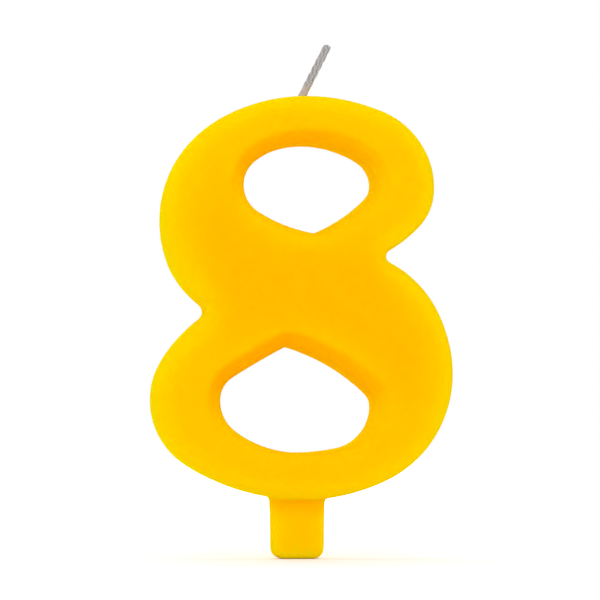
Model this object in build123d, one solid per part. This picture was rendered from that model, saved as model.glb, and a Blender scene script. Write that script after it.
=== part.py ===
"""Number birthday candle, digit eight: a moulded wax body with its cake peg, and the plaited
cotton wick cast into it.

X runs across the digit, Z is up and Y is the thickness, with the moulded front facing -Y. The
origin is at the middle of the peg, at the level of the digit's foot, which is where the surface
of the cake comes. All sizes are in millimetres.
"""

from build123d import *
from math import ceil, cos, hypot, pi, radians, sin, sqrt, tan
import os

os.makedirs("parts", exist_ok=True)

# ---- digit, through its thickness --------------------------------------------------------------
digit_thickness = 9.0
front_edge_round = 2.8  # broad soft edge of the moulded front
counter_edge_round = 2.2  # the same edge round the two counters

# ---- digit, from the foot up: strokes and counters in turn -------------------------------------
foot_stroke = 7.6
lower_counter_height = 17.1
waist_stroke = 18.1  # between the two counters' points
upper_counter_height = 14.4
crown_stroke = 7.8

# ---- digit, how far each side reaches from the peg's middle, and the strokes there -------------
upper_left_reach = 22.2
upper_right_reach = 21.9
lower_left_reach = 23.7
lower_right_reach = 24.9
upper_left_stroke = 12.9
upper_right_stroke = 9.7
lower_left_stroke = 10.6
lower_right_stroke = 12.7
left_notch_depth = 9.6  # in from the lower left reach
right_notch_depth = 12.3  # in from the lower right reach
left_notch_round = 1.4
right_notch_round = 1.0
counter_point_round = 0.35

# ---- digit, where its turning points lie -------------------------------------------------------
crown_x = 1.3
foot_x = 0.8
upper_counter_top_x = 1.0
upper_point_x = 2.2
lower_point_x = -2.2
lower_counter_foot_x = -0.3
upper_left_rise = 2.1  # the next four rise from the upper counter's point
upper_right_rise = 7.4
upper_counter_left_rise = 7.6
upper_counter_right_rise = 7.9
left_notch_rise = 5.6  # the next two rise from the lower counter's point
right_notch_rise = 14.4
lower_counter_left_rise = 8.3  # the next two rise from the lower counter's foot
lower_counter_right_rise = 7.5
lower_left_rise = 16.1  # the next two rise from the digit's foot
lower_right_rise = 20.2

# ---- peg ---------------------------------------------------------------------------------------
peg_length = 9.5
peg_width = 8.6
peg_tip_width = 8.1
peg_thickness = 5.4
peg_root = 3.5  # how far it is drawn up inside the digit
peg_corner_round = 1.7
peg_edge_round = 0.8

# ---- wick --------------------------------------------------------------------------------------
strand_count = 3
strand_diameter = 0.38
strand_gap = 0.03  # kept between strands where they cross
plait_pitch = 4.8  # along the wick, for one strand to go across and come back
strand_sides = 5
steps_per_pitch = 8
wick_free_length = 9.4
wick_lean = 27.0  # degrees off upright, towards +X
wick_exit_x = 0.5
wick_lead_in = 4.5  # straight on below the wax surface
channel_gap = 0.04  # between the wick and the wax round it
channel_sides = 6

# ---- wick, where it turns inside the wax -------------------------------------------------------
shoulder_inset = 2.9  # right of the middle of the upper bowl's left stroke
shoulder_drop = 1.2  # below the upper counter's top
flank_outset = 0.2  # left of the stroke's middle
flank_rise = 5.9  # above the upper counter's point
turn_inset = 2.2  # right of the stroke's middle, and so is the next
turn_drop = 1.9  # below the upper counter's point, and so is the next
wick_end_inset = 8.5
wick_end_drop = 6.9

# ---- places that follow from these -------------------------------------------------------------
lower_point_z = foot_stroke + lower_counter_height
upper_point_z = lower_point_z + waist_stroke
upper_counter_top_z = upper_point_z + upper_counter_height
digit_height = upper_counter_top_z + crown_stroke
back_y = peg_thickness / 2  # the digit and the peg share one flat back
middle_y = back_y - digit_thickness / 2


# ---- outlines ----------------------------------------------------------------------------------
def towards(heading):
    """Unit vector for a heading on the digit's plane, in degrees: 0 to the right and 90 up."""
    return Vector(cos(radians(heading)), sin(radians(heading)))


def arc_pair(start, heading, end, end_heading, balance):
    """Two arcs from start to end, tangent to each other and to the heading at either end.

    The two reach along their end headings to the straight line that both touch where they meet.
    Balance is the second arc's reach as a share of the first one's.
    """
    leaving, arriving = towards(heading), towards(end_heading)
    chord = end - start
    spread = 2 * balance * (1 - leaving.dot(arriving))
    along = chord.dot(leaving + arriving * balance)
    reach = (sqrt(along**2 + spread * chord.dot(chord)) - along) / spread
    first_handle = start + leaving * reach
    second_handle = end - arriving * reach * balance
    meeting = (first_handle * balance + second_handle) / (1 + balance)
    first = TangentArc(start, meeting, tangent=leaving)
    return [first, TangentArc(meeting, end, tangent=second_handle - first_handle)]


def closed_outline(knots):
    """Closed wire through the knots, travelled clockwise on a pair of arcs from each to the next.

    A knot is its point, the heading it is reached on, the heading it is left on, and the balance
    of the pair of arcs that leaves it.
    """
    arcs = []
    for knot, next_knot in zip(knots, knots[1:] + knots[:1]):
        point, _, heading_out, balance = knot
        next_point, next_heading_in, _, _ = next_knot
        arcs += arc_pair(
            Vector(*point), heading_out, Vector(*next_point), next_heading_in, balance
        )
    return Wire(arcs)


def round_corner(outline, corner, radius):
    """The outline with its corner at this point rounded."""
    nearest = outline.vertices().sort_by_distance(corner)[0]
    return outline.fillet_2d(radius, [nearest])


left_notch = (left_notch_depth - lower_left_reach, lower_point_z + left_notch_rise)
right_notch = (lower_right_reach - right_notch_depth, lower_point_z + right_notch_rise)
upper_point = (upper_point_x, upper_point_z)
lower_point = (lower_point_x, lower_point_z)

digit_outline = closed_outline([
    ((crown_x, digit_height), 0, 0, 1.40),
    ((upper_right_reach, upper_point_z + upper_right_rise), -90, -90, 1.12),
    (right_notch, -155, -20, 0.89),
    ((lower_right_reach, lower_right_rise), -90, -90, 0.61),
    ((foot_x, 0), 180, 180, 0.67),
    ((-lower_left_reach, lower_left_rise), 90, 90, 1.76),
    (left_notch, 32.4, 151.5, 0.52),
    ((-upper_left_reach, upper_point_z + upper_left_rise), 90, 90, 0.61),
])
digit_outline = round_corner(digit_outline, right_notch, right_notch_round)
digit_outline = round_corner(digit_outline, left_notch, left_notch_round)

upper_counter_left = (upper_left_stroke - upper_left_reach, upper_point_z + upper_counter_left_rise)
upper_counter_right = (
    upper_right_reach - upper_right_stroke, upper_point_z + upper_counter_right_rise
)
upper_counter = closed_outline([
    ((upper_counter_top_x, upper_counter_top_z), 0, 0, 0.55),
    (upper_counter_right, -90, -90, 5.2),
    (upper_point, -160, 171, 0.53),
    (upper_counter_left, 90, 90, 1.81),
])
upper_counter = round_corner(upper_counter, upper_point, counter_point_round)

lower_counter_left = (lower_left_stroke - lower_left_reach, foot_stroke + lower_counter_left_rise)
lower_counter_right = (
    lower_right_reach - lower_right_stroke, foot_stroke + lower_counter_right_rise
)
lower_counter = closed_outline([
    (lower_point, 27.5, -14.8, 0.14),
    (lower_counter_right, -90, -90, 0.61),
    ((lower_counter_foot_x, foot_stroke), 180, 180, 0.52),
    (lower_counter_left, 90, 90, 2.13),
])
lower_counter = round_corner(lower_counter, lower_point, counter_point_round)


# ---- wax body ----------------------------------------------------------------------------------
def digit():
    """The digit: its outline taken through the thickness, soft in front and sharp behind."""
    profile = Plane.XZ.offset(-back_y) * Face(digit_outline, [upper_counter, lower_counter])
    solid = extrude(profile, digit_thickness, dir=(0, -1, 0))
    front = solid.faces().sort_by(Axis.Y)[0]
    counter_rims = [edge for rim in front.inner_wires() for edge in rim.edges()]
    solid = fillet(counter_rims, counter_edge_round)
    front = solid.faces().sort_by(Axis.Y)[0]
    return fillet(front.outer_wire().edges(), front_edge_round)


def peg():
    """The peg: narrower at its tip, which has rounded corners, and soft along its front edges."""
    outline = Polyline(
        (-peg_width / 2, peg_root),
        (-peg_tip_width / 2, -peg_length),
        (peg_tip_width / 2, -peg_length),
        (peg_width / 2, peg_root),
        close=True,
    )
    face = Face(outline)
    face = fillet(face.vertices().group_by(Axis.Y)[0], peg_corner_round)
    solid = extrude(Plane.XZ.offset(-back_y) * face, peg_thickness, dir=(0, -1, 0))
    root_edges = solid.faces().sort_by(Axis.Z)[-1].edges()
    front = solid.faces().sort_by(Axis.Y)[0]
    return fillet(front.edges() - root_edges, peg_edge_round)


# ---- wick --------------------------------------------------------------------------------------
def on_wick_plane(x, z):
    """A point of the wick's route, which lies halfway through the digit's thickness."""
    return Vector(x, middle_y, z)


lean = radians(wick_lean)
wick_exit = on_wick_plane(wick_exit_x, digit_height)
wick_upward = Vector(sin(lean), 0, cos(lean))
left_stroke_x = upper_left_stroke / 2 - upper_left_reach  # middle of the upper bowl's left stroke

# From the tip down into the crown, round the left of the upper bowl and into the waist.
wick_route = [
    wick_exit + wick_upward * wick_free_length,
    wick_exit - wick_upward * wick_lead_in,
    on_wick_plane(left_stroke_x + shoulder_inset, upper_counter_top_z - shoulder_drop),
    on_wick_plane(left_stroke_x - flank_outset, upper_point_z + flank_rise),
    on_wick_plane(left_stroke_x + turn_inset, upper_point_z - turn_drop),
    on_wick_plane(left_stroke_x + wick_end_inset, upper_point_z - wick_end_drop),
]


def bend_radii(points):
    """The radius at each corner, as large as its two runs leave room for."""
    radii = []
    for before, here, after in zip(points, points[1:], points[2:]):
        run_in, run_out = here - before, after - here
        room = 0.45 * min(run_in.length, run_out.length)
        radii.append(room / tan(radians(run_in.get_angle(run_out)) / 2))
    return radii


# The free end is straight right down to the wax, so the first bend has only the buried run.
wick_radii = bend_radii([wick_exit] + wick_route[1:])
wick_line = FilletPolyline(*wick_route, radius=wick_radii)

through = Vector(0, 1, 0)
plait_swing = 0.90 * (strand_diameter + strand_gap)  # a strand's way out to either side
plait_lift = 0.95 * (strand_diameter + strand_gap)  # and its way out over and under
wick_width = 2 * plait_swing + strand_diameter


def plait_offset(turn):
    """How far a strand is off the wick's middle at this turn: to the side, and over it."""
    return plait_swing * sin(turn), plait_lift * sin(2 * turn)


def strand_point(along, phase):
    """Where a strand's middle is, this far along the wick: it crosses once over, once under."""
    share = along / wick_line.length
    aside, over = plait_offset(2 * pi * along / plait_pitch + phase)
    return wick_line @ share + through.cross(wick_line % share) * aside + through * over


def strand(number):
    """One cotton strand of the plait: a many-sided cord lofted along its path."""
    phase = 2 * pi * number / strand_count
    steps = ceil(wick_line.length / plait_pitch * steps_per_pitch)
    path = [strand_point(wick_line.length * step / steps, phase) for step in range(steps + 1)]
    sections = []
    for before, middle, after in zip(path[:1] + path, path, path[1:] + path[-1:]):
        heading = after - before
        section_plane = Plane(middle, x_dir=heading.cross(through), z_dir=heading)
        sections.append(section_plane * RegularPolygon(strand_diameter / 2, strand_sides))
    return loft(sections, ruled=True)


def wick_channel():
    """The space that the wick takes up in the wax, closed just past its buried end."""
    farthest_out = max(hypot(*plait_offset(radians(turn))) for turn in range(360))
    channel_radius = farthest_out + strand_diameter / 2 + channel_gap
    section = RegularPolygon(channel_radius, channel_sides, major_radius=False)
    run = sweep(Plane(wick_line @ 0, x_dir=through, z_dir=wick_line % 0) * section, path=wick_line)
    end = Plane(wick_line @ 1, x_dir=through, z_dir=wick_line % 1) * section
    return run + extrude(end, strand_diameter / 2 + channel_gap)


# ---- pieces ------------------------------------------------------------------------------------
pieces = {"wax_body": digit() + peg() - wick_channel()}
for number in range(1, strand_count + 1):
    pieces[f"wick_strand_{number}"] = strand(number)

for name, piece in pieces.items():
    piece.label = name
    export_step(piece, f"parts/{name}.step")

print("wick", round(wick_line.length, 1), "mm, bend radii", [round(r, 1) for r in wick_radii])
print("digit", digit_height, "mm tall, wick", round(wick_width, 2), "mm wide")
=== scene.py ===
"""Number birthday candle, digit eight: the looks of its wax and its plaited wick.

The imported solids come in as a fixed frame. The wax body is replaced by a finer casting with the
small signs of how it was poured, and each strand of the wick by a fuller, twisted one.
"""

import logging
from dataclasses import dataclass
from enum import Enum
from math import cos, pi, radians, sin

import bpy
import numpy as np
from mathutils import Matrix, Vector
from mathutils.kdtree import KDTree


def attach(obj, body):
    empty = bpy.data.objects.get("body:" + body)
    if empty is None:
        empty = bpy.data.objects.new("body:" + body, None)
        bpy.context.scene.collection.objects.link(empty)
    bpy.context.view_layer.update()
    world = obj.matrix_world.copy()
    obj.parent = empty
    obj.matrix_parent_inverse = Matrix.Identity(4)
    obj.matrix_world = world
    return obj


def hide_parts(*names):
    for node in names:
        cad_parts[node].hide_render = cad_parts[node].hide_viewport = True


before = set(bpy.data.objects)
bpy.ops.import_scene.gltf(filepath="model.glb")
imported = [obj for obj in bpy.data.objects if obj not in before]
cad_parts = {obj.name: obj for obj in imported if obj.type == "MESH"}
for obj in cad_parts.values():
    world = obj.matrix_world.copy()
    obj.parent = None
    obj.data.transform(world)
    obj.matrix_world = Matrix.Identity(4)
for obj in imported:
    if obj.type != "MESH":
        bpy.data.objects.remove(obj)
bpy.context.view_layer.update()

LOG = logging.getLogger("candle")
MM = 0.001
BODY = "root"
WHITE = "FFFFFF"
# A vertex with less than this share of a group's pull stays out of it.
LEAST_WEIGHT = 0.002
# The colour sockets of a Mix node, whose names repeat for each kind of value.
MIX_A, MIX_B, MIXED = 6, 7, 2


class Slot(Enum):
    """The record's material slots."""

    WAX = "coloured_wax"
    COTTON = "waxed_cotton"


class Mark(Enum):
    """What is marked on the casting's vertices: three attributes and two vertex groups."""

    FROM_OUTLINE = "from_outline"
    BULK = "bulk"
    PAINTED_SHADE = "shade"
    DISH = "dished_back"
    MENISCUS = "wick_meniscus"


# ---- colours and nodes ---------------------------------------------------------------------------
def linear(hex_colour: str) -> tuple[float, float, float, float]:
    """Turn an sRGB hex colour into the linear values that the shaders take.

    Args:
        hex_colour: Six hex digits, such as "FFC603".

    Returns:
        Red, green, blue and an alpha of 1.
    """
    channels = [int(hex_colour[start:start + 2], 16) / 255 for start in (0, 2, 4)]
    red, green, blue = (
        value / 12.92 if value <= 0.04045 else ((value + 0.055) / 1.055) ** 2.4
        for value in channels
    )
    return red, green, blue, 1.0


def add_node(
    tree: bpy.types.NodeTree,
    kind: str,
    inputs: dict[str | int, object] | None = None,
    **settings: object,
) -> bpy.types.Node:
    """Add one node with its settings, its values and the links that feed it.

    Args:
        tree: The node tree that it goes into.
        kind: The node's type name, such as "ShaderNodeMix".
        inputs: A value, or another node's socket, for each named or numbered input.
        **settings: Properties of the node itself.

    Returns:
        The new node.
    """
    node = tree.nodes.new(kind)
    for name, value in settings.items():
        setattr(node, name, value)
    for key, value in (inputs or {}).items():
        if isinstance(value, bpy.types.NodeSocket):
            tree.links.new(value, node.inputs[key])
        else:
            node.inputs[key].default_value = value
    return node


def new_material(name: str) -> bpy.types.Material:
    """Make a node material with nothing in it.

    Args:
        name: What the finish is.

    Returns:
        The material.
    """
    material = bpy.data.materials.new(name)
    material.use_nodes = True
    material.node_tree.nodes.clear()
    return material


def seen_directly(tree: bpy.types.NodeTree) -> bpy.types.NodeSocket:
    """Tell the rays that show a backdrop, straight or in gloss or glass, from its light.

    Args:
        tree: The node tree that asks.

    Returns:
        A socket that is 1 for such rays.
    """
    path = add_node(tree, "ShaderNodeLightPath")
    shown = path.outputs["Is Camera Ray"]
    for ray in ("Is Glossy Ray", "Is Transmission Ray"):
        either = {0: shown, 1: path.outputs[ray]}
        shown = add_node(tree, "ShaderNodeMath", either, operation="MAXIMUM").outputs["Value"]
    return shown


# ---- finishes ------------------------------------------------------------------------------------
@dataclass(frozen=True)
class Unevenness:
    """One layer of a skin's fine unevenness: its patches, and how far they stand out."""

    patch_mm: float
    detail: float
    strength: float
    height_mm: float


@dataclass(frozen=True)
class DyedParaffin:
    """Paraffin wax, dyed through and poured into a mould.

    Light goes some millimetres in and comes back deeper in colour, as the shader scatters it. On
    top of that, light and shade are painted into the colour. A clear yellow glow along the edges,
    where light comes through thin wax, is painted light. A deeper orange in the thick middles and
    round the counters' upper edges and the root of the peg is painted shade. The mould leaves a
    dull, even skin, with a faint ripple and a bloom in patches, and no mirror shine.
    """

    # face is the dye's own colour. edge is painted light, the glow of light through thin wax. thick
    # is painted shade, the deeper orange of light that has crossed thick wax. shaded is painted
    # shade.
    face: str = "FFC600"
    edge: str = "FFCE00"
    thick: str = "FFBC00"
    shaded: str = "FFAA00"
    # How far in from the outline the painted light of the edge reaches.
    edge_reach_mm: float = 4.0
    # The shares of wax all round at which the painted deeper colour of the thick middle starts and
    # is full.
    thick_share: tuple[float, float] = (0.71, 0.95)
    ior: float = 1.43
    mirror_shine: float = 0.0
    scattered_share: float = 0.85
    scatter_mm: float = 3.5
    # How far red, green and blue light go in the wax, as shares of the scatter.
    scatter_by_colour: tuple[float, float, float] = (1.0, 0.35, 0.06)
    # Bloom, the fine crystals that wax puts out, makes the skin rougher in patches. A noise
    # keeps mostly to the middle of its range, which is stretched over the whole roughness.
    bloom_patch_mm: float = 7.0
    bloom_detail: float = 3.0
    bloom_contrast: tuple[float, float] = (0.35, 0.65)
    roughness: tuple[float, float] = (0.58, 0.70)
    # The ripple of a cooling skin, and the mould's grain. The real grain is about 0.1 mm, too
    # fine to show, so it is drawn three times as coarse.
    skin: tuple[Unevenness, ...] = (
        Unevenness(patch_mm=1.8, detail=2.0, strength=0.25, height_mm=0.05),
        Unevenness(patch_mm=0.30, detail=4.0, strength=0.20, height_mm=0.012),
    )

    def material(self) -> bpy.types.Material:
        """Build the wax, which reads Object coordinates and the casting's own attributes.

        Returns:
            The material.
        """
        material = new_material("dyed_paraffin_wax")
        tree = material.node_tree
        place = add_node(tree, "ShaderNodeTexCoord").outputs["Object"]
        bloom = add_node(
            tree,
            "ShaderNodeTexNoise",
            {
                "Vector": place,
                "Scale": 1 / (self.bloom_patch_mm * MM),
                "Detail": self.bloom_detail,
            },
        ).outputs["Fac"]
        roughness = add_node(
            tree,
            "ShaderNodeMapRange",
            {
                "Value": bloom,
                "From Min": self.bloom_contrast[0],
                "From Max": self.bloom_contrast[1],
                "To Min": self.roughness[0],
                "To Max": self.roughness[1],
            },
        ).outputs["Result"]
        relief: dict[str, object] = {}
        for layer in self.skin:
            height = add_node(
                tree,
                "ShaderNodeTexNoise",
                {"Vector": place, "Scale": 1 / (layer.patch_mm * MM), "Detail": layer.detail},
            ).outputs["Fac"]
            bump = add_node(
                tree,
                "ShaderNodeBump",
                {
                    "Strength": layer.strength,
                    "Distance": layer.height_mm * MM,
                    "Height": height,
                    **relief,
                },
            )
            relief = {"Normal": bump.outputs["Normal"]}
        shader = add_node(
            tree,
            "ShaderNodeBsdfPrincipled",
            {
                "Base Color": self.painted_light_and_shade(tree),
                "Roughness": roughness,
                "IOR": self.ior,
                "Specular IOR Level": self.mirror_shine,
                "Subsurface Weight": self.scattered_share,
                "Subsurface Radius": self.scatter_by_colour,
                "Subsurface Scale": self.scatter_mm * MM,
                **relief,
            },
        )
        add_node(tree, "ShaderNodeOutputMaterial", {"Surface": shader.outputs["BSDF"]})
        return material

    def painted_light_and_shade(self, tree: bpy.types.NodeTree) -> bpy.types.NodeSocket:
        """Paint light and shade into the dye's colour at its edges, thick middles and hollows.

        Args:
            tree: The material's node tree.

        Returns:
            The colour socket.
        """
        colour = linear(self.face)
        # The edge's clear yellow is painted light. The thick and shaded colours are painted shade.
        for mark, start, end, shade in (
            (Mark.FROM_OUTLINE, self.edge_reach_mm * MM, 0.0, self.edge),
            (Mark.BULK, *self.thick_share, self.thick),
            (Mark.PAINTED_SHADE, 0.0, 1.0, self.shaded),
        ):
            value = add_node(tree, "ShaderNodeAttribute", attribute_name=mark.value)
            share = add_node(
                tree,
                "ShaderNodeMapRange",
                {"Value": value.outputs["Fac"], "From Min": start, "From Max": end},
                interpolation_type="SMOOTHSTEP",
            ).outputs["Result"]
            colour = add_node(
                tree,
                "ShaderNodeMix",
                {"Factor": share, MIX_A: colour, MIX_B: linear(shade)},
                data_type="RGBA",
            ).outputs[MIXED]
        return colour


@dataclass(frozen=True)
class WaxedCotton:
    """Bleached cotton yarn, plaited and drawn through clear wax.

    The wax fills the yarn and turns it grey and half clear, with a soft shine, and dyed wax creeps
    up its root. The grey is partly the wax's and partly painted shade. The pale ridges are painted
    light and the dark creases painted shade, laid over the yarns' relief. The real yarns lie about
    0.2 mm apart, too close to show, so they are drawn three times as coarse: 0.6 mm apart, as the
    strands' ridges are.
    """

    yarns_round: int
    twist_mm: float
    # The ridge's pale grey is painted light on the yarns and the crease's dark grey is painted
    # shade between them. The root's colour is a real stain.
    ridge: str = "AFABAA"
    crease_painted_shade: str = "858281"
    root: str = "B8AAA0"
    # How unevenly the yarns lie, and the fibres that each of them shows.
    wander: float = 0.6
    wander_detail: float = 2.0
    fibres_per_yarn: float = 5.0
    fibre_detail: float = 4.0
    # How strongly the root is stained, and how far above the wax the stain starts and ends to fade.
    stain: float = 0.75
    stain_fade_mm: tuple[float, float] = (0.8, 2.6)
    # How far the yarns and the fibres stand out.
    yarn_strength: float = 0.5
    yarn_height_mm: float = 0.03
    fibre_strength: float = 0.3
    fibre_height_mm: float = 0.01
    roughness: float = 0.48
    ior: float = 1.45
    # The film of clear wax that stays on the cotton.
    film: float = 0.25
    film_roughness: float = 0.3

    def material(self, root_z: float) -> bpy.types.Material:
        """Build the waxed cotton, whose yarns follow each strand's own UV map.

        Args:
            root_z: The level at which the wick leaves the wax, in metres.

        Returns:
            The material.
        """
        material = new_material("waxed_cotton_yarn")
        tree = material.node_tree
        turned = add_node(
            tree,
            "ShaderNodeMapping",
            {
                "Vector": add_node(tree, "ShaderNodeUVMap", uv_map="UVMap").outputs["UV"],
                "Scale": (self.yarns_round, -1 / self.twist_mm, 1.0),
            },
        ).outputs["Vector"]
        # A diagonal wave repeats after pi / 5, so this scale gives every yarn one wave, and the
        # offset puts the pale half of the wave, painted light, on the yarn's ridge, and the dark
        # half, painted shade, in its crease.
        yarns = add_node(
            tree,
            "ShaderNodeTexWave",
            {
                "Vector": turned,
                "Scale": pi / 5,
                "Phase Offset": pi,
                "Distortion": self.wander,
                "Detail": self.wander_detail,
            },
            bands_direction="DIAGONAL",
        ).outputs["Fac"]
        fibres = add_node(
            tree,
            "ShaderNodeTexNoise",
            {"Vector": turned, "Scale": self.fibres_per_yarn, "Detail": self.fibre_detail},
        ).outputs["Fac"]
        place = add_node(tree, "ShaderNodeTexCoord").outputs["Object"]
        height = add_node(tree, "ShaderNodeSeparateXYZ", {"Vector": place}).outputs["Z"]
        stained = add_node(
            tree,
            "ShaderNodeMapRange",
            {
                "Value": height,
                "From Min": root_z + self.stain_fade_mm[0] * MM,
                "From Max": root_z + self.stain_fade_mm[1] * MM,
                "To Min": self.stain,
                "To Max": 0.0,
            },
            interpolation_type="SMOOTHSTEP",
        ).outputs["Result"]
        # Painted shade in the creases, painted light on the ridges, then the real stain at the
        # root.
        colour = linear(self.crease_painted_shade)
        for share, shade in ((yarns, self.ridge), (stained, self.root)):
            colour = add_node(
                tree,
                "ShaderNodeMix",
                {"Factor": share, MIX_A: colour, MIX_B: linear(shade)},
                data_type="RGBA",
            ).outputs[MIXED]
        relief: dict[str, object] = {}
        for pattern, strength, height_mm in (
            (yarns, self.yarn_strength, self.yarn_height_mm),
            (fibres, self.fibre_strength, self.fibre_height_mm),
        ):
            bump = add_node(
                tree,
                "ShaderNodeBump",
                {"Strength": strength, "Distance": height_mm * MM, "Height": pattern, **relief},
            )
            relief = {"Normal": bump.outputs["Normal"]}
        shader = add_node(
            tree,
            "ShaderNodeBsdfPrincipled",
            {
                "Base Color": colour,
                "Roughness": self.roughness,
                "IOR": self.ior,
                "Coat Weight": self.film,
                "Coat Roughness": self.film_roughness,
                **relief,
            },
        )
        add_node(tree, "ShaderNodeOutputMaterial", {"Surface": shader.outputs["BSDF"]})
        return material


@dataclass(frozen=True)
class MattBackdrop:
    """White background paper, unglazed, on which only the candle's soft shadow shows.

    Near the candle it glows just enough to look white and still keep that shadow. Farther out it
    fades into the white background.
    """

    paper: str = "F4F4F4"
    roughness: float = 0.9
    glow_near: float = 0.15
    glow_far: float = 1.0
    # How far from the middle the fade starts and ends, in metres.
    fade: tuple[float, float] = (0.08, 0.24)

    def material(self) -> bpy.types.Material:
        """Build the paper, which reads Object coordinates.

        Returns:
            The material.
        """
        material = new_material("matt_white_floor")
        tree = material.node_tree
        place = add_node(tree, "ShaderNodeTexCoord").outputs["Object"]
        away = add_node(tree, "ShaderNodeVectorMath", {"Vector": place}, operation="LENGTH")
        lift = add_node(
            tree,
            "ShaderNodeMapRange",
            {
                "Value": away.outputs["Value"],
                "From Min": self.fade[0],
                "From Max": self.fade[1],
                "To Min": self.glow_near,
                "To Max": self.glow_far,
            },
            interpolation_type="SMOOTHSTEP",
        ).outputs["Result"]
        both = {0: seen_directly(tree), 1: lift}
        glow = add_node(tree, "ShaderNodeMath", both, operation="MULTIPLY").outputs["Value"]
        shader = add_node(
            tree,
            "ShaderNodeBsdfPrincipled",
            {
                "Base Color": linear(self.paper),
                "Roughness": self.roughness,
                "Specular IOR Level": 0.0,
                "Emission Color": linear(WHITE),
                "Emission Strength": glow,
            },
        )
        add_node(tree, "ShaderNodeOutputMaterial", {"Surface": shader.outputs["BSDF"]})
        return material


# ---- shared modelling helpers --------------------------------------------------------------------
def deselect_all() -> None:
    """Leave nothing selected, so that an operator acts only on what comes next."""
    if bpy.context.object and bpy.context.object.mode != "OBJECT":
        bpy.ops.object.mode_set(mode="OBJECT")
    bpy.ops.object.select_all(action="DESELECT")


def pick(piece: bpy.types.Object) -> None:
    """Select one piece alone and make it active.

    Args:
        piece: The piece.
    """
    deselect_all()
    piece.select_set(True)
    bpy.context.view_layer.objects.active = piece


def place_in_scene(mesh: bpy.types.Mesh, name: str) -> bpy.types.Object:
    """Put a mesh into the scene as a piece at the origin, unturned and unscaled.

    Args:
        mesh: The mesh.
        name: The piece's name.

    Returns:
        The piece, picked.
    """
    piece = bpy.data.objects.new(name, mesh)
    bpy.context.scene.collection.objects.link(piece)
    pick(piece)
    return piece


def finish_with(piece: bpy.types.Object, kind: str, **settings: object) -> None:
    """Add a modifier to a piece and apply it.

    Args:
        piece: The piece, which becomes the active object.
        kind: The modifier's type, such as "SMOOTH".
        **settings: Properties of the modifier.
    """
    pick(piece)
    modifier = piece.modifiers.new(kind.lower(), kind)
    for name, value in settings.items():
        setattr(modifier, name, value)
    bpy.ops.object.modifier_apply(modifier=modifier.name)


def at_vertices(piece: bpy.types.Object, what: str) -> np.ndarray:
    """Read one vector at each vertex of a mesh.

    Args:
        piece: The mesh object.
        what: "co" for the vertices' places, in metres, or "normal" for their normals.

    Returns:
        One row for each vertex.
    """
    values = np.empty(len(piece.data.vertices) * 3)
    piece.data.vertices.foreach_get(what, values)
    return values.reshape(-1, 3)


def smoothstep(values: np.ndarray, start: float, end: float) -> np.ndarray:
    """Ease from 0 at the start to 1 at the end."""
    share = np.clip((values - start) / (end - start), 0.0, 1.0)
    return share * share * (3.0 - 2.0 * share)


def unit_rows(rows: np.ndarray) -> np.ndarray:
    """Give each row of vectors a length of 1."""
    return rows / np.linalg.norm(rows, axis=1, keepdims=True)


def nearest(targets: np.ndarray, places: np.ndarray) -> tuple[np.ndarray, np.ndarray]:
    """Find the nearest of some targets to each place, in a plane.

    Args:
        targets: The targets, one row each.
        places: The places, one row each.

    Returns:
        For each place the number of its nearest target, and how far away that is.
    """
    tree = KDTree(len(targets))
    for index, (across, up) in enumerate(targets.tolist()):
        tree.insert((across, up, 0.0), index)
    tree.balance()
    found = [tree.find((across, up, 0.0)) for across, up in places.tolist()]
    return np.array([hit[1] for hit in found]), np.array([hit[2] for hit in found])


def paint_group(piece: bpy.types.Object, mark: Mark, weights: np.ndarray) -> None:
    """Give a mesh a vertex group with these weights, leaving out what is nearly nothing.

    Args:
        piece: The mesh object.
        mark: The group's name.
        weights: A weight from 0 to 1 for every vertex.
    """
    group = piece.vertex_groups.new(name=mark.value)
    for index in np.nonzero(weights > LEAST_WEIGHT)[0].tolist():
        group.add([index], float(weights[index]), "REPLACE")


def report(piece: bpy.types.Object) -> None:
    """Log a finished piece with its size in millimetres and its triangles.

    Args:
        piece: The piece.
    """
    sizes = " x ".join(f"{side / MM:.2f}" for side in piece.dimensions)
    triangles = sum(len(face.vertices) - 2 for face in piece.data.polygons)
    LOG.info("%s: %s mm, %d triangles", piece.name, sizes, triangles)


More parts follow.
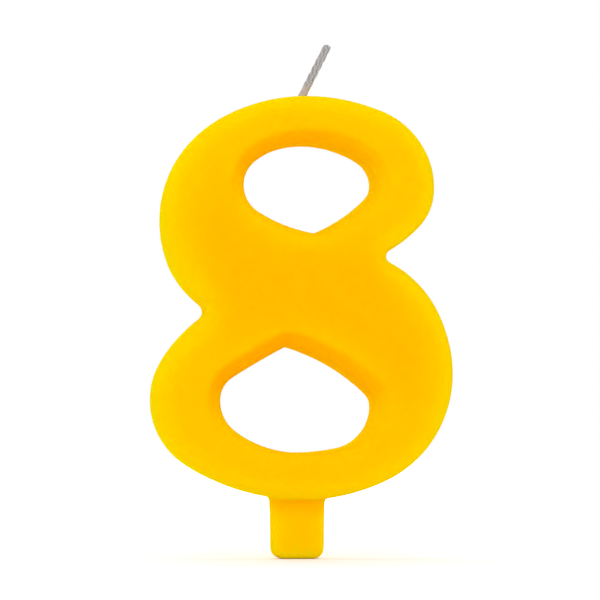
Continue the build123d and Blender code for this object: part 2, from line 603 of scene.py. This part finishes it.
# ---- wick ----------------------------------------------------------------------------------------
@dataclass
class PlaitedWick:
    """The wick: three strands plaited along one route, from the free tip down into the waist.

    All lengths are in millimetres.
    """

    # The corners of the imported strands' route, across and up. One at the wax surface and one
    # halfway to the tip keep the free end straight.
    tip: tuple[float, float] = (4.768, 73.376)
    half_way: tuple[float, float] = (2.634, 69.188)
    at_crown: tuple[float, float] = (0.5, 65.0)
    lead_in: tuple[float, float] = (-1.543, 60.990)
    buried: tuple[tuple[float, float], ...] = (
        (-12.85, 56.0),
        (-15.95, 48.7),
        (-13.55, 40.9),
        (-7.25, 35.9),
    )
    middle_y: float = -1.8
    curve_steps: int = 64
    strand_count: int = 3
    strand_radius: float = 0.50
    # How far a strand swings to each side, and how far it rises and dips, in each pitch.
    swing: float = 0.16
    lift: float = 0.20
    pitch: float = 4.8
    step: float = 0.10
    sides: int = 24
    # The twisted yarns of a strand: their number, the height of their ridges as a share of the
    # strand's radius, and the length of one full twist.
    yarns: int = 5
    yarn_relief: float = 0.035
    twist: float = 1.3
    # Each strand's tip is rounded over this length, and the area within its smallest ring is
    # this share of a full one's.
    tip_length: float = 0.35
    tip_share: float = 0.003
    # The wax draws the cut ends together over this length, to this share of their swing.
    gathered_length: float = 1.4
    gathered_share: float = 0.92

    def route(self) -> np.ndarray:
        """Read the wick's middle line from a smooth curve through its route.

        Returns:
            Points about one step apart along the wick, from the tip down.
        """
        corners = (self.tip, self.half_way, self.at_crown, self.lead_in, *self.buried)
        curve = bpy.data.curves.new("wick_route", "CURVE")
        curve.dimensions = "3D"
        curve.resolution_u = self.curve_steps
        spline = curve.splines.new("NURBS")
        spline.points.add(len(corners) - 1)
        for point, (x, z) in zip(spline.points, corners):
            point.co = (x, self.middle_y, z, 1.0)
        spline.order_u = 3
        spline.use_endpoint_u = True
        holder = bpy.data.objects.new("wick_route", curve)
        line = bpy.data.meshes.new_from_object(holder)
        coarse = np.array([vertex.co[:] for vertex in line.vertices])
        bpy.data.objects.remove(holder)
        bpy.data.meshes.remove(line)
        bpy.data.curves.remove(curve)
        lengths = np.linalg.norm(np.diff(coarse, axis=0), axis=1)
        along = np.concatenate([[0.0], np.cumsum(lengths)])
        stations = np.linspace(0.0, along[-1], round(along[-1] / self.step) + 1)
        return np.stack([np.interp(stations, along, coarse[:, axis]) for axis in range(3)], 1)

    def strand_line(self, route: np.ndarray, number: int) -> np.ndarray:
        """Lay one strand's middle line along the route: it crosses once over, once under.

        Args:
            route: The wick's middle line.
            number: The strand's number, from 0.

        Returns:
            The points of the strand's middle line.
        """
        along = np.arange(len(route)) * self.step
        turn = 2 * pi * along / self.pitch + 2 * pi * number / self.strand_count
        loose = smoothstep(along, 0.0, self.gathered_length)
        gathered = self.gathered_share + (1.0 - self.gathered_share) * loose
        aside = np.cross([0.0, 1.0, 0.0], unit_rows(np.gradient(route, axis=0)))
        swing = (self.swing * gathered * np.sin(turn))[:, None]
        lift = (self.lift * gathered * np.sin(2 * turn))[:, None]
        return route + aside * swing + np.array([[0.0, 1.0, 0.0]]) * lift

    def yarn_rings(self, line: np.ndarray, along: np.ndarray) -> np.ndarray:
        """Set rings round a strand's line, with the ridges of its twisted yarns.

        Args:
            line: The strand's middle line.
            along: How far along the strand each of its points lies.

        Returns:
            The rings' points, ring by ring from the tip down.
        """
        heading = unit_rows(np.gradient(line, axis=0))
        aside = unit_rows(np.cross(heading, [0.0, 1.0, 0.0]))
        over = np.cross(aside, heading)
        angles = 2 * pi * np.arange(self.sides) / self.sides
        from_tip = np.clip(along / self.tip_length, 0.0, 1.0)
        rounding = np.sqrt(np.clip(1.0 - (1.0 - from_tip) ** 2, self.tip_share, 1.0))
        ridges = np.cos(self.yarns * angles[None, :] - 2 * pi * along[:, None] / self.twist)
        radius = self.strand_radius * (1.0 + self.yarn_relief * ridges) * rounding[:, None]
        rings = (
            line[:, None, :]
            + radius[:, :, None] * np.cos(angles)[None, :, None] * aside[:, None, :]
            + radius[:, :, None] * np.sin(angles)[None, :, None] * over[:, None, :]
        )
        return rings.reshape(-1, 3)

    def strand(self, line: np.ndarray, number: int) -> bpy.types.Object:
        """Make one strand: a closed tube of yarns.

        Args:
            line: The strand's middle line.
            number: The strand's number, from 0.

        Returns:
            The strand, with its UV map: turns round it across, millimetres along it up.
        """
        along = np.arange(len(line)) * self.step
        vertices = np.concatenate([self.yarn_rings(line, along), line[:1], line[-1:]]) * MM
        tip_middle, end_middle = len(vertices) - 2, len(vertices) - 1
        end_ring = (len(line) - 1) * self.sides
        faces: list[tuple[int, ...]] = []
        uvs: list[tuple[float, float]] = []
        for ring in range(len(line) - 1):
            here, below = ring * self.sides, (ring + 1) * self.sides
            top, low = along[ring], along[ring + 1]
            for side in range(self.sides):
                other = (side + 1) % self.sides
                left, right = side / self.sides, (side + 1) / self.sides
                faces.append((here + side, here + other, below + other, below + side))
                uvs += [(left, top), (right, top), (right, low), (left, low)]
        for side in range(self.sides):
            other = (side + 1) % self.sides
            left, right = side / self.sides, (side + 1) / self.sides
            faces.append((tip_middle, other, side))
            uvs += [(left, 0.0), (right, 0.0), (left, 0.0)]
            faces.append((end_middle, end_ring + side, end_ring + other))
            uvs += [(left, along[-1]), (left, along[-1]), (right, along[-1])]
        mesh = bpy.data.meshes.new(f"wick_yarn_{number + 1}")
        mesh.from_pydata(vertices.tolist(), [], faces)
        layer = mesh.uv_layers.new(name="UVMap")
        layer.data.foreach_set("uv", np.array(uvs, dtype=np.float32).ravel())
        mesh.validate()
        piece = place_in_scene(mesh, mesh.name)
        bpy.ops.object.mode_set(mode="EDIT")
        bpy.ops.mesh.select_all(action="SELECT")
        bpy.ops.mesh.normals_make_consistent(inside=False)
        bpy.ops.object.mode_set(mode="OBJECT")
        bpy.ops.object.shade_smooth()
        return piece

    def build(self) -> list[bpy.types.Object]:
        """Make, dress and place the strands.

        Returns:
            The strands.
        """
        route = self.route()
        cotton = WaxedCotton(yarns_round=self.yarns, twist_mm=self.twist)
        material = cotton.material(self.at_crown[1] * MM)
        pieces = []
        for number in range(self.strand_count):
            piece = self.strand(self.strand_line(route, number), number)
            piece.data.materials.append(material)
            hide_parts(f"wick_strand_{number + 1}")
            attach(piece, BODY)
            pieces.append(piece)
        return pieces


# ---- wax body ------------------------------------------------------------------------------------
@dataclass
class WaxCasting:
    """The digit and its peg as they leave the mould, with the wick cast in.

    All lengths are in millimetres.
    """

    wick_exit: tuple[float, float]
    wick_plane_y: float
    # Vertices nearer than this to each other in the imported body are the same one.
    merged_within: float = 0.001
    voxel: float = 0.30
    smoothing: int = 10
    # The wick's channel, which the casting closes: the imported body's faces this near the wick's
    # plane and above this level.
    channel_half_width: float = 0.9
    channel_above_z: float = 30.0
    back_y: float = 2.7
    # The upper and the lower counter: low x, high x, low z, high z, and the depth of its painted
    # shade.
    counters: tuple[tuple[float, float, float, float, float], ...] = (
        (-10.5, 13.5, 42.0, 58.0, 0.80),
        (-14.5, 14.0, 6.0, 26.0, 1.00),
    )
    # The side walls are where the normals turn no more than this to the front or the back. They
    # are read in cells of this size.
    wall_slope: float = 0.25
    wall_cell: float = 0.2
    # The share of wax is measured in cells of this size, out to about this distance.
    bulk_cell: float = 0.5
    bulk_reach: float = 5.0
    # The distances from a counter's wall at which its painted shade starts and ends to fade.
    shade_fade: tuple[float, float] = (1.4, 3.2)
    # Where the light comes from, across and up, and how closely the painted shade keeps to the
    # walls that it doesn't reach.
    light_from: tuple[float, float] = (-0.44, 0.90)
    shade_falloff: float = 1.5
    # The painted shadow at the root of the peg, under the digit, how far down the peg it fades, and
    # the levels between which it gives way to the digit above.
    peg_shade: float = 0.5
    peg_shade_reach: float = 4.5
    peg_root: tuple[float, float] = (0.6, -0.2)
    # The dish in the back: its depth, the shares of wax at which it starts and is full, and the
    # same for how near the back is.
    dish_depth: float = 0.22
    dish_share: tuple[float, float] = (0.52, 0.85)
    dish_skin: tuple[float, float] = (0.4, 0.1)
    # The wax drawn up round the wick: its height, the distances from the wick at which it starts
    # and ends to fall off, and how far below the crown it starts and is full.
    meniscus_height: float = 0.16
    meniscus_reach: tuple[float, float] = (0.3, 1.5)
    meniscus_skin: tuple[float, float] = (0.6, 0.2)
    # The unevenness of the whole skin.
    ripple_size: float = 6.0
    ripple_height: float = 0.07

    def rough_casting(self) -> bpy.types.Object:
        """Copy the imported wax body, merged into one skin, with the wick's channel closed.

        Returns:
            The copy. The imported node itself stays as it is.
        """
        piece = place_in_scene(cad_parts["wax_body"].data.copy(), "wax_casting")
        piece.data.materials.clear()
        bpy.ops.object.mode_set(mode="EDIT")
        bpy.ops.mesh.select_mode(type="FACE")
        bpy.ops.mesh.select_all(action="SELECT")
        bpy.ops.mesh.remove_doubles(threshold=self.merged_within * MM)
        bpy.ops.mesh.select_all(action="DESELECT")
        bpy.ops.object.mode_set(mode="OBJECT")
        places = at_vertices(piece, "co") / MM
        in_channel = np.abs(places[:, 1] - self.wick_plane_y) < self.channel_half_width
        in_channel &= places[:, 2] > self.channel_above_z
        for face in piece.data.polygons:
            face.select = bool(in_channel[list(face.vertices)].all())
        bpy.ops.object.mode_set(mode="EDIT")
        bpy.ops.mesh.delete(type="FACE")
        bpy.ops.mesh.select_mode(type="EDGE")
        bpy.ops.mesh.select_all(action="DESELECT")
        bpy.ops.mesh.select_non_manifold()
        bpy.ops.mesh.edge_face_add()
        bpy.ops.object.mode_set(mode="OBJECT")
        return piece

    def soften(self, piece: bpy.types.Object) -> None:
        """Give the casting an even, fine skin, and ease its corners as wax does."""
        finish_with(piece, "REMESH", mode="VOXEL", voxel_size=self.voxel * MM)
        finish_with(piece, "SMOOTH", factor=0.5, iterations=self.smoothing)

    def marks(self, piece: bpy.types.Object) -> dict[Mark, np.ndarray]:
        """Measure where each vertex lies in the digit, seen from the front.

        Args:
            piece: The casting.

        Returns:
            For each vertex its distance from the outline in metres, the share of wax round it,
            and how much painted shade it gets: most round a counter's top and at the root of the
                peg.
        """
        places = at_vertices(piece, "co")[:, [0, 2]] / MM
        normals = at_vertices(piece, "normal")
        is_wall = np.abs(normals[:, 1]) < self.wall_slope
        cells = np.round(places[is_wall] / self.wall_cell)
        cells, first = np.unique(cells, axis=0, return_index=True)
        walls = cells * self.wall_cell
        facing_light = normals[is_wall][first][:, [0, 2]] @ self.light_from
        depth = self.counter_depths(walls)
        in_counter = depth > 0.0
        _, from_outline = nearest(walls[~in_counter], places)
        wall, from_counter = nearest(walls[in_counter], places)
        # Painted shade: the counters' walls that face away from the light, and the peg's root under
        # the digit, get a deeper orange.
        turned_away = 0.5 - 0.5 * facing_light[in_counter][wall]
        under_top = depth[in_counter][wall] * turned_away ** self.shade_falloff
        in_counter_shade = under_top * (1.0 - smoothstep(from_counter, *self.shade_fade))
        below_digit = smoothstep(places[:, 1], -self.peg_shade_reach, 0.0)
        on_peg = smoothstep(places[:, 1], *self.peg_root)
        return {
            Mark.FROM_OUTLINE: from_outline * MM,
            Mark.BULK: self.share_of_wax(places),
            Mark.PAINTED_SHADE: np.maximum(in_counter_shade, self.peg_shade * below_digit * on_peg),
        }

    def counter_depths(self, walls: np.ndarray) -> np.ndarray:
        """Find which side walls are a counter's.

        Args:
            walls: Places on the side walls, across and up.

        Returns:
            The depth of shade of the counter that each place belongs to, or 0.
        """
        depths = np.zeros(len(walls))
        for low_x, high_x, low_z, high_z, depth in self.counters:
            inside = (walls > (low_x, low_z)) & (walls < (high_x, high_z))
            depths[inside.all(axis=1)] = depth
        return depths

    def share_of_wax(self, places: np.ndarray) -> np.ndarray:
        """Find how much of the space round each place is wax, seen from the front.

        Args:
            places: Places across and up.

        Returns:
            A share for each place: about a half at an edge, nearly 1 in the middle of the waist.
        """
        cells = np.round((places - places.min(axis=0)) / self.bulk_cell).astype(int)
        # Past three times its reach a place's surroundings no longer count.
        margin = round(3 * self.bulk_reach / self.bulk_cell)
        cells += margin
        wax = np.zeros(cells.max(axis=0) + margin + 1)
        wax[cells[:, 0], cells[:, 1]] = 1.0
        offsets = np.arange(-margin, margin + 1) * self.bulk_cell
        weights = np.exp(-0.5 * (offsets / self.bulk_reach) ** 2)
        weights /= weights.sum()
        for axis in (0, 1):
            wax = np.apply_along_axis(np.convolve, axis, wax, weights, mode="same")
        return wax[cells[:, 0], cells[:, 1]]

    def shape_pour(self, piece: bpy.types.Object, bulk: np.ndarray) -> None:
        """Dish the poured back and draw the wax up round the wick.

        Args:
            piece: The casting.
            bulk: The share of wax round each vertex.
        """
        places = at_vertices(piece, "co") / MM
        (wick_x, crown_z), wick_y = self.wick_exit, self.wick_plane_y
        on_back = smoothstep(places[:, 1], *(self.back_y - gap for gap in self.dish_skin))
        from_wick = np.hypot(places[:, 0] - wick_x, places[:, 1] - wick_y)
        near_wick = 1.0 - smoothstep(from_wick, *self.meniscus_reach)
        on_crown = smoothstep(places[:, 2], *(crown_z - gap for gap in self.meniscus_skin))
        paint_group(piece, Mark.DISH, on_back * smoothstep(bulk, *self.dish_share))
        paint_group(piece, Mark.MENISCUS, near_wick * on_crown)
        for mark, direction, distance in (
            (Mark.DISH, "Y", -self.dish_depth),
            (Mark.MENISCUS, "Z", self.meniscus_height),
        ):
            finish_with(
                piece,
                "DISPLACE",
                direction=direction,
                strength=distance * MM,
                mid_level=0.0,
                vertex_group=mark.value,
            )
        piece.vertex_groups.clear()

    def ripple(self, piece: bpy.types.Object) -> None:
        """Add the slight unevenness of a cast skin.

        Args:
            piece: The casting.
        """
        clouds = bpy.data.textures.new("cast_skin", "CLOUDS")
        clouds.noise_scale = self.ripple_size * MM
        clouds.noise_depth = 1
        finish_with(
            piece,
            "DISPLACE",
            texture=clouds,
            texture_coords="LOCAL",
            strength=self.ripple_height * MM,
            mid_level=0.5,
        )

    def build(self) -> bpy.types.Object:
        """Make, dress and place the casting.

        Returns:
            The casting.
        """
        piece = self.rough_casting()
        self.soften(piece)
        marks = self.marks(piece)
        self.shape_pour(piece, marks[Mark.BULK])
        self.ripple(piece)
        for mark, values in marks.items():
            layer = piece.data.attributes.new(mark.value, "FLOAT", "POINT")
            layer.data.foreach_set("value", values.astype(np.float32))
        pick(piece)
        bpy.ops.object.shade_smooth()
        piece.data.materials.append(DyedParaffin().material())
        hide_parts("wax_body")
        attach(piece, BODY)
        return piece


# ---- studio --------------------------------------------------------------------------------------
@dataclass(frozen=True)
class SoftLight:
    """One large soft lamp of the studio: its place and width in metres, its power in watts."""

    name: str
    place: tuple[float, float, float]
    width: float
    power: float

    def build(self, target: Vector) -> None:
        """Add the lamp.

        Args:
            target: The point that it is turned to, in metres.
        """
        deselect_all()
        bpy.ops.object.light_add(type="AREA", location=self.place)
        lamp = bpy.context.object
        lamp.name = self.name
        lamp.data.shape = "DISK"
        lamp.data.size = self.width
        lamp.data.energy = self.power
        away = target - Vector(self.place)
        lamp.rotation_euler = away.to_track_quat("-Z", "Y").to_euler()


@dataclass
class Studio:
    """The pale floor, the soft light and the camera. Lengths are in metres unless named as mm."""

    target_mm: tuple[float, float, float] = (0.2, -1.8, 32.15)
    distance_mm: float = 600.0
    azimuth: float = -9.0
    elevation: float = -2.0
    lens_mm: float = 223.4
    sensor_mm: float = 36.0
    camera_range: tuple[float, float] = (0.05, 50.0)
    floor_z_mm: float = -9.5
    floor_size: float = 4.0
    sky: float = 0.58
    background: float = 1.0
    lamps: tuple[SoftLight, ...] = (
        SoftLight("front_softbox", (-0.10, -0.90, 0.20), 0.60, 2.5),
        SoftLight("high_front_softbox", (-0.10, -0.60, 0.65), 0.60, 1.0),
        SoftLight("overhead_softbox", (0.0, 0.10, 0.85), 0.60, 1.3),
        SoftLight("right_softbox", (0.85, -0.15, 0.15), 0.60, 0.7),
        SoftLight("back_softbox", (0.10, 0.90, 0.30), 0.60, 3.4),
        SoftLight("left_back_softbox", (-0.80, 0.45, 0.30), 0.60, 1.5),
    )

    def target(self) -> Vector:
        """Give the point that the camera and the lamps are turned to, in metres."""
        return Vector(self.target_mm) * MM

    def camera(self) -> None:
        """Place the camera a little to the left of the candle and a little below its middle."""
        azimuth, elevation = radians(self.azimuth), radians(self.elevation)
        level = cos(elevation)
        back = Vector((sin(azimuth) * level, -cos(azimuth) * level, sin(elevation)))
        data = bpy.data.cameras.new("camera")
        data.sensor_width = self.sensor_mm
        data.lens = self.lens_mm
        data.clip_start, data.clip_end = self.camera_range
        camera = bpy.data.objects.new("camera", data)
        camera.location = self.target() + back * (self.distance_mm * MM)
        camera.rotation_euler = (-back).to_track_quat("-Z", "Y").to_euler()
        bpy.context.scene.collection.objects.link(camera)
        bpy.context.scene.camera = camera

    def backdrop(self) -> None:
        """Light the candle evenly from all round, before a white background."""
        world = bpy.data.worlds.new("studio")
        bpy.context.scene.world = world
        world.use_nodes = True
        tree = world.node_tree
        tree.nodes.clear()
        strength = add_node(
            tree,
            "ShaderNodeMapRange",
            {"Value": seen_directly(tree), "To Min": self.sky, "To Max": self.background},
        ).outputs["Result"]
        light = add_node(
            tree, "ShaderNodeBackground", {"Color": linear(WHITE), "Strength": strength}
        )
        add_node(tree, "ShaderNodeOutputWorld", {"Surface": light.outputs["Background"]})

    def floor(self) -> None:
        """Lay the pale floor under the peg's tip. It keeps the candle's shadow."""
        deselect_all()
        bpy.ops.mesh.primitive_plane_add(
            size=self.floor_size, location=(0.0, 0.0, self.floor_z_mm * MM)
        )
        floor = bpy.context.object
        floor.name = "floor"
        floor.data.materials.append(MattBackdrop().material())

    def build(self) -> None:
        """Set up the studio."""
        self.camera()
        self.backdrop()
        self.floor()
        for lamp in self.lamps:
            lamp.build(self.target())
        bpy.context.scene.view_settings.view_transform = "Standard"


def main() -> None:
    """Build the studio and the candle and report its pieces."""
    logging.basicConfig(level=logging.INFO, format="%(name)s %(message)s")
    Studio().build()
    wick = PlaitedWick()
    casting = WaxCasting(wick_exit=wick.at_crown, wick_plane_y=wick.middle_y)
    for piece in (*wick.build(), casting.build()):
        report(piece)


if __name__ == "__main__":
    main()
